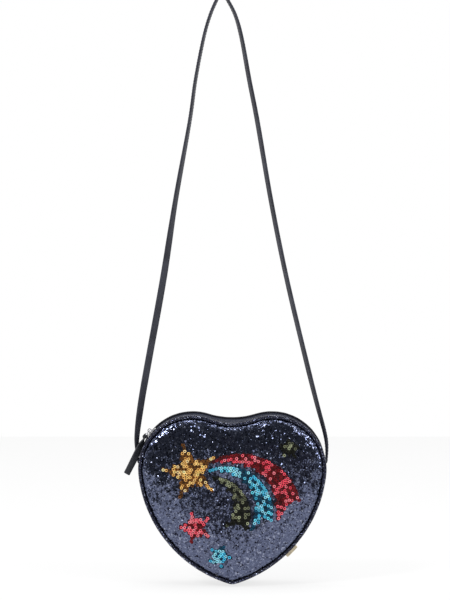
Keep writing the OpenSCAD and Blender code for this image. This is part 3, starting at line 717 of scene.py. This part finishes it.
def strap_knots():
    """Rows of (x, z, twist) along the strap: end, left leg, bend over the hook, right leg, end.

    A share holds (drop of the strap's height, sideways of the bow's reach, twist of TWIST).
    """
    def leg(shares, side):
        return [(side * s[1] * (BOW_X + side * BAG_X), -s[0] * STRAP_DROP, s[2] * TWIST) for s in shares]
    r = HOOK_R + STRAP_T
    apex = [(r * math.cos(a), -HOOK_R + r * math.sin(a), LEFT_SHARES[0][2] * TWIST)
            for a in (math.radians(152 - 124 * i / 6) for i in range(7))]
    ends = [[(BAG_X + side * END_X, -STRAP_DROP, 0), (BAG_X + side * (END_X - 0.8 * MM), -STRAP_DROP - 3.4 * MM, 0)]
            for side in (-1, 1)]
    return (ends[0][::-1] + leg(LEFT_SHARES, -1)[::-1] + apex + leg(RIGHT_SHARES, 1) + ends[1])


rows = smooth_rows(strap_knots(), 8)
frames, sections = [], []
for i, (x, z, turned) in enumerate(rows):
    a, b = rows[max(i - 1, 0)], rows[min(i + 1, len(rows) - 1)]
    n = Vector((b[1] - a[1], 0, a[0] - b[0])).normalized()
    twist = turned + wavy((x, 0, z), 0.045, 0.05, 9)
    y = Vector((0, 1, 0))
    frames.append((Vector((x, 0, z)), y * math.cos(twist) + n * math.sin(twist),
                   n * math.cos(twist) - y * math.sin(twist)))
    half = STRAP_HALF * (1 + wavy((x, 0.3, z), 0.012, 0.02, 4))
    sections.append(loop_section(half, STRAP_T * 0.86, 0.62 * MM, 3, STRAP_T * 0.12))
strap = subdivided(sweep("leather_strap", frames, sections, strap_leather))
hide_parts("strap")
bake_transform(strap)


def edge_threads(name, words, frames, reach, level, body, pitch, length, r):
    """Stitches near both edges of a flat band, on both faces: reach is half the way between the two seams."""
    made = []
    for edge, word in zip((-1, 1), words):
        for face in (-1, 1):
            spots = [c + s * (edge * reach) + u * (face * level) for c, s, u in frames]
            made.append(thread_run(f"{name}_{word}_{'in' if face < 0 else 'out'}", spots,
                                   [u * face for c, s, u in frames], body, pitch, length, r))
    return made


for stitches in edge_threads("strap_thread", ("front", "back"), frames[6:-6], STRAP_HALF - 1.3 * MM, STRAP_T * 0.93,
                             None, 3.0 * MM, 2.1 * MM, 0.17 * MM):
    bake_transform(stitches)


# Pull tab: a folded strip of leather that wraps the ring's far bar
OUT = Vector((HINGE.x - LOBE.x, 0, HINGE.z - LOBE.z)).normalized()
DOWN = Vector((-OUT.z, 0, OUT.x))
YAW = math.radians(35)
RING_X = DOWN * math.cos(YAW) - Vector((0, 1, 0)) * math.sin(YAW)
TAB_DROP, TAB_TURN = math.radians(14), YAW / 2
FLAT_X = RING_X * math.cos(TAB_TURN) + TAB_AXIS * math.sin(TAB_TURN)
TAB_X = FLAT_X * math.cos(TAB_DROP) - OUT * math.sin(TAB_DROP)
TAB_Y = TAB_AXIS * math.cos(TAB_TURN) - RING_X * math.sin(TAB_TURN)
TAB_Z = FLAT_X * math.sin(TAB_DROP) + OUT * math.cos(TAB_DROP)
TAB_L, TAB_HALF, TAB_T = 41 * MM, 3.2 * MM, 1.0 * MM
TAB_TWIST = math.radians(68)
EYE_R, EYE_STEPS = 1.45 * MM, 24
# Along the tab: share of its length, lean sideways, width and twist
TAB_SHARES = [(0.03, 0, 0.5, 0), (0.08, 0.02, 0.6, 0.1), (0.16, 0.038, 0.95, 0.45), (0.28, 0.045, 1.12, 0.8),
              (0.42, 0.04, 1.12, 0.95), (0.60, 0.02, 1.08, 1), (0.80, -0.035, 1.04, 1), (1, -0.10, 1, 1)]
tab_frames, tab_sections = [], []
for s, lean, width, twist in smooth_rows(TAB_SHARES, 6):
    a = TAB_TWIST * twist
    tab_frames.append((FAR_BAR + TAB_X * (TAB_L * s) - TAB_Y * (TAB_L * lean),
                       TAB_Y * math.cos(a) - TAB_Z * math.sin(a), TAB_Y * math.sin(a) + TAB_Z * math.cos(a)))
    tab_sections.append(loop_section(TAB_HALF * width, TAB_T * 0.9, 0.45 * MM, 3, TAB_T * 0.1))
pull_tab = subdivided(sweep("leather_pull_tab", tab_frames, tab_sections, tab_leather))
rides(pull_tab, "tab_body", "tab_leather", "pull_tab")
across = TAB_AXIS.cross(TAB_X).normalized()
eye = []
for i in range(EYE_STEPS):
    b = 2 * math.pi * i / EYE_STEPS
    radial = TAB_X * math.cos(b) + across * math.sin(b)
    eye.append((FAR_BAR + radial * EYE_R, TAB_AXIS, radial))
eye_section = loop_section(1.9 * MM, 0.62 * MM, 0.3 * MM)
rides(sweep("leather_pull_eye", eye, [eye_section] * EYE_STEPS, tab_leather, True), "tab_body", "tab_leather")
edge_threads("tab_thread", ("low", "high"), tab_frames[16:-1], TAB_HALF - 0.95 * MM, TAB_T * 0.95,
             "tab_body", 2.4 * MM, 1.7 * MM, 0.15 * MM)

# Label: a blank folded band sewn into the front seam
LABEL_ANGLE, LABEL_L, LABEL_W, LABEL_T, LABEL_STEPS = math.radians(44), 3 * MM, 14 * MM, 0.34 * MM, 16
label_frames = []
for i in range(LABEL_STEPS + 1):
    a = -LABEL_ANGLE + (i / LABEL_STEPS - 0.5) * LABEL_W / SIDE_R
    out = Vector((math.cos(a), 0, math.sin(a)))
    place = Vector((BAG_X + SIDE_X, 0, SIDE_Z)) + out * (SIDE_R + (LABEL_L + GUSSET_OUT) / 2)
    place.y = -GUSSET_END_Y + 0.5 * MM + wavy((i / LABEL_STEPS, 0, 0), 0.4, 0.00035, 3)
    label_frames.append((place, out, Vector((0, 1, 0))))
label_section = loop_section((LABEL_L - GUSSET_OUT) / 2, LABEL_T, 0.3 * MM)
label = subdivided(sweep("blank_side_label", label_frames, [label_section] * len(label_frames), label_cloth))
rides(label, "bag_body", "label", "side_label")
spots = [c + o * 1.6 * MM - u * LABEL_T for c, o, u in label_frames[1:-1]]
thread_run("label_thread", spots, [-u for c, o, u in label_frames[1:-1]], "bag_body", 1.9 * MM, 1.3 * MM, 0.12 * MM)

# Sequin figures on the front panel
surface = BVHTree.FromPolygons([v.co for v in front.data.vertices], [tuple(p.vertices) for p in front.data.polygons])
HEART_H = TOP_Z - BOTTOM_Z


def on_front(x, z):
    """The place and outward direction on the front panel at x and z."""
    place, normal, _, _ = surface.ray_cast(Vector((x, -0.2, z)), Vector((0, 1, 0)))
    return (place, normal if normal.y < 0 else -normal) if place else (None, None)


def star_spots(x, z, r, q, turn, pitch):
    """Places inside a five-pointed star: a row along each arm and a lattice between them."""
    fold = math.radians(36)
    arms = [turn + 2 * k * fold for k in range(5)]
    rows = [(d * math.cos(a), d * math.sin(a)) for a in arms
            for d in np.arange(r - 0.45 * pitch, 0.66 * r, -0.95 * pitch)]
    spots, n = list(rows), math.ceil(r / pitch) + 1
    for j in range(-n, n + 1):
        for i in range(-n, n + 1):
            px, pz = (i + (abs(j) % 2) / 2) * pitch, j * pitch * math.sin(math.radians(60))
            b = abs((math.atan2(pz, px) - turn + fold) % (2 * fold) - fold)
            reach = r * q * math.sin(fold) / (q * math.sin(fold) * math.cos(b) + (r - q * math.cos(fold)) * math.sin(b))
            apart = all(math.hypot(px - u, pz - v) > 0.86 * pitch for u, v in rows)
            if math.hypot(px, pz) < reach + 0.1 * pitch and apart:
                spots.append((px, pz))
    return [(x + px, z + pz) for px, pz in spots]


def tail_spots(x, z, r, w, angles, pitch):
    """Places in a comet's tail: lanes inside an outer arc that widen it from a point and end in a slanted fork."""
    start, outer, notch, inner = (math.radians(a) for a in angles)
    spots = []
    for k in range(int(w / pitch) + 1):
        v = k * pitch / w
        end = outer + (notch - outer) * 2 * v if v < 0.5 else notch + (inner - notch) * (2 * v - 1)
        lane_r = r - k * pitch
        for i in range(int((start - end) * lane_r / pitch) + 1):
            a = start - (i + (k % 2) / 2) * pitch / lane_r
            if a >= end and v <= min(1, (start - a) / (start - outer)) ** 0.75:
                spots.append((x + lane_r * math.cos(a), z + lane_r * math.sin(a)))
    return spots


# A sequin's rings from its hole to its edge: radius and height in mm, and a painted brightness: a painted dark hole, a
# painted highlight on the raised rim and painted shade at the edge
CUP = ((0.20, -0.08, 0.05), (0.72, -0.06, 0.06), (0.84, 0.06, 1.05), (1.08, 0.10, 1.15), (1.34, 0.05, 1.0),
       (1.46, -0.08, 0.15))
CUP_SIDES = 14


def sequins(name, node_name, slot, spots, tones, bright, seed, level=0):
    """Foil rings, each with its own lean and colour: a bed of rings darkened as painted shade, and on it rings, a share
    of them brightened as painted light, the rest darkened as painted shade.
    """
    chance = random.Random(seed)
    points, faces, shades = [], [], []

    def ring(x, z, height, spread, colour):
        place, normal = on_front(x, z)
        if place is None:
            return
        lean = Vector((chance.gauss(0, spread), chance.gauss(0, 0.03), chance.gauss(0, spread)))
        up = (normal + lean).normalized()
        right = up.cross(Vector((0, 0, 1))).normalized()
        ahead = up.cross(right)
        place = place + normal * (height * MM)
        start = len(points)
        for r, h, rim in CUP:
            for i in range(CUP_SIDES):
                a = 2 * math.pi * i / CUP_SIDES
                points.append(place + (right * math.cos(a) + ahead * math.sin(a)) * (r * MM) + up * (h * MM))
                # The ring's colour times its painted brightness from CUP.
                shades.append([min(1, c * rim) for c in colour] + [1])
        faces.extend(strip_faces(len(CUP), CUP_SIDES, close_cols=True, start=start))

    # A tone scaled brighter or darker at random: painted light and painted shade.
    def shade(tone, least, most):
        light = chance.uniform(least, most)
        return [light * c ** (1.5 if most < 0.6 else 1) for c in tone[:3]]

    # Under each spot two bed rings in painted shade; over them one ring with painted light where lit, in patches, else
    # in painted shade.
    for x, z in spots:
        for _ in range(2):
            px, pz = x + chance.uniform(-0.5, 0.5) * PITCH, z + chance.uniform(-0.5, 0.5) * PITCH
            ring(px, pz, 0.3 + 0.25 * level + 0.2 * chance.random(), 0.12, shade(tones[0], 0.04, 0.14))
        lit = chance.random() + wavy((x, 0, z), 0.009, 0.5, seed) < bright
        colour = shade(chance.choice(tones), 0.8, 1.2) if lit else shade(tones[0], 0.07, 0.3)
        ring(x + chance.gauss(0, 0.22) * MM, z + chance.gauss(0, 0.22) * MM,
             0.85 + 0.25 * level + 0.2 * chance.random(), 0.05 if lit else 0.16, colour)
    obj = add_mesh(name, points, faces, foil)
    layer = obj.data.color_attributes.new("tone", "FLOAT_COLOR", "POINT")
    layer.data.foreach_set("color", np.array(shades, dtype=np.float32).ravel())
    skin = obj.modifiers.new("foil", "SOLIDIFY")
    skin.thickness = 0.09 * MM
    apply_modifiers(obj)
    return rides(obj, "bag_body", slot, node_name)


GOLD = [srgb(240, 178, 96), srgb(252, 200, 120), srgb(246, 188, 104), srgb(255, 222, 160)]
RED = [srgb(236, 74, 92), srgb(250, 98, 114), srgb(252, 126, 138)]
BLUE = [srgb(66, 180, 220), srgb(100, 210, 242), srgb(146, 224, 248)]
OLIVE = [srgb(84, 88, 68), srgb(112, 116, 90), srgb(150, 156, 124)]
PITCH = 2.95 * MM


def star(name, slot, shares, turn, tones, bright, seed):
    """Shares are (across, down, outer radius, inner radius): down is of the height, the others of half the width."""
    x, down, r, q = shares
    spots = star_spots(BAG_X + x * UNIT, TOP_Z - down * HEART_H, r * UNIT, q * UNIT, math.radians(turn), PITCH)
    return sequins(f"sequin_{name}", name, slot, spots, tones, bright, seed)


def tail(name, slot, shares, angles, tones, bright, seed, level):
    """Shares are (across, down, outer radius, tail's width), as in star; angles are in degrees, as in tail_spots."""
    x, down, r, w = shares
    spots = tail_spots(BAG_X + x * UNIT, TOP_Z - down * HEART_H, r * UNIT, w * UNIT, angles, PITCH)
    return sequins(f"sequin_{name}", name, slot, spots, tones, bright, seed, level)


# bright is the share of each figure's sequins with painted light; the rest are in painted shade.
tail("red_tail", "red_sequins", (0.085, 0.575, 0.632, 0.235), (117, 14, 12.5, -8), RED,
     bright=0.5, seed=11, level=0)
tail("blue_tail", "blue_sequins", (-0.065, 0.562, 0.48, 0.19), (111, -11, -5, -50), BLUE,
     bright=0.72, seed=12, level=1)
tail("black_tail", "black_sequins", (-0.221, 0.575, 0.393, 0.2), (86, -24, -18, -38), OLIVE,
     bright=0.5, seed=13, level=0)
star("gold_star", "gold_sequins", (-0.446, 0.325, 0.302, 0.125), 104, GOLD, bright=0.54, seed=14)
star("red_star", "red_sequins", (-0.385, 0.648, 0.168, 0.086), 108, RED, bright=0.8, seed=15)
star("blue_star", "blue_sequins", (-0.135, 0.817, 0.12, 0.064), 64, BLUE, bright=0.9, seed=16)
star("black_star", "black_sequins", (0.60, 0.192, 0.10, 0.06), 90, OLIVE, bright=0.4, seed=17)

# Frame pieces that stay as they are, each with its own finish
FINISHES = {"zip_slider": silver, "pull_ring": silver, "zip_stops": silver,
            "front_foam": foam_white, "back_foam": foam_white,
            "front_lining": lining_cloth, "back_lining": lining_cloth, "gusset_lining": lining_cloth,
            "zip_tape_front": tape_cloth, "zip_tape_back": tape_cloth}
for name, material in FINISHES.items():
    for place in frame["nodes"][name].material_slots:
        place.material = material


# Floor, light and camera; the white world is the backdrop
def white(name, colour, share):
    """A pale surface that the camera, metal and glass see partly lit and partly plain white."""
    material, tree, shader, _ = new_material(name)
    shader.inputs["Base Color"].default_value = colour
    shader.inputs["Roughness"].default_value = 0.9
    rays = node(tree, "LightPath").outputs
    seen = rays["Is Camera Ray"]
    for other in ("Is Glossy Ray", "Is Transmission Ray"):
        seen = node(tree, "Math", {0: seen, 1: rays[other]}, operation="MAXIMUM").outputs["Value"]
    part = node(tree, "Math", {0: seen, 1: share}, operation="MULTIPLY").outputs["Value"]
    plain = node(tree, "Emission", {"Color": (1, 1, 1, 1), "Strength": 1.0}).outputs["Emission"]
    both = node(tree, "MixShader", {0: part, 1: shader.outputs["BSDF"], 2: plain}).outputs["Shader"]
    tree.links.new(both, tree.nodes["Material Output"].inputs["Surface"])
    return material


FLOOR_Z, FLOOR_NEAR, FLOOR_FAR, FLOOR_HALF = BOTTOM_Z - 0.4 * MM, -0.78, 1.4, 3
corners = [(-FLOOR_HALF, FLOOR_NEAR, FLOOR_Z), (FLOOR_HALF, FLOOR_NEAR, FLOOR_Z),
           (FLOOR_HALF, FLOOR_FAR, FLOOR_Z), (-FLOOR_HALF, FLOOR_FAR, FLOOR_Z)]
add_mesh("floor", corners, [(0, 1, 2, 3)], white("floor_white", grey(0.92), 0.76), smooth=False)

# The camera sees the world as white. Metal sees a dim room in front and white behind the bag
world = bpy.data.worlds.new("studio")
bpy.context.scene.world = world
world.use_nodes = True
tree = world.node_tree
sky = tree.nodes["Background"]
sky.inputs["Color"].default_value = (1, 1, 1, 1)
towards = node(tree, "SeparateXYZ", {"Vector": node(tree, "TexCoord").outputs["Generated"]}).outputs["Y"]
room = node(tree, "MapRange", {"Value": towards, "From Min": -0.9, "From Max": 0.1, "To Min": 0.10, "To Max": 0.30})
behind = node(tree, "MapRange", {"Value": towards, "From Min": 0.05, "From Max": 0.15})
mirrored = node(tree, "Math", {0: room.outputs["Result"], 1: behind.outputs["Result"]}, operation="MAXIMUM")
rays = node(tree, "LightPath").outputs
lit = node(tree, "MapRange", {"Value": rays["Is Glossy Ray"], "To Min": 0.62, "To Max": mirrored.outputs["Value"]})
plain = node(tree, "Math", {0: rays["Is Camera Ray"], 1: rays["Is Transmission Ray"]}, operation="MAXIMUM")
strength = node(tree, "MapRange", {"Value": plain.outputs["Value"], "To Min": lit.outputs["Result"], "To Max": 1.0})
tree.links.new(strength.outputs["Result"], sky.inputs["Strength"])


def lamp(name, place, target, size, watts):
    """A rectangular lamp at a place, facing target."""
    data = bpy.data.lights.new(name, "AREA")
    data.shape, data.size, data.size_y = "RECTANGLE", *size
    data.energy = watts
    obj = bpy.data.objects.new(name, data)
    obj.location = place
    obj.rotation_euler = (Vector(target) - Vector(place)).to_track_quat("-Z", "Y").to_euler()
    bpy.context.scene.collection.objects.link(obj)


MIDDLE = (BAG_X, 0, -0.4)
lamp("key", (-1.3, -1.5, 1.2), MIDDLE, (0.5, 0.5), 24)
lamp("fill", (1.6, -1.3, 0.9), MIDDLE, (0.8, 0.8), 17)
lamp("top", (0, 0.2, 1.5), MIDDLE, (1.2, 0.9), 12)

# SPAN is the height that the picture shows at the bag
SPAN, DISTANCE, TILT, SENSOR = 0.581, 3.2, math.radians(3.5), 24
camera_data = bpy.data.cameras.new("camera")
camera = bpy.data.objects.new("camera", camera_data)
bpy.context.scene.collection.objects.link(camera)
bpy.context.scene.camera = camera
camera_data.sensor_fit, camera_data.sensor_height = "VERTICAL", SENSOR
camera_data.lens = SENSOR * DISTANCE / SPAN
camera_data.clip_start, camera_data.clip_end = 0.1, 20
AIM = Vector((2.9 * MM, 0, -0.29325))
camera.location = AIM + Vector((0, -math.cos(TILT), math.sin(TILT))) * DISTANCE
camera.rotation_euler = (AIM - camera.location).to_track_quat("-Z", "Y").to_euler()

bpy.context.scene.view_settings.view_transform = "Standard"
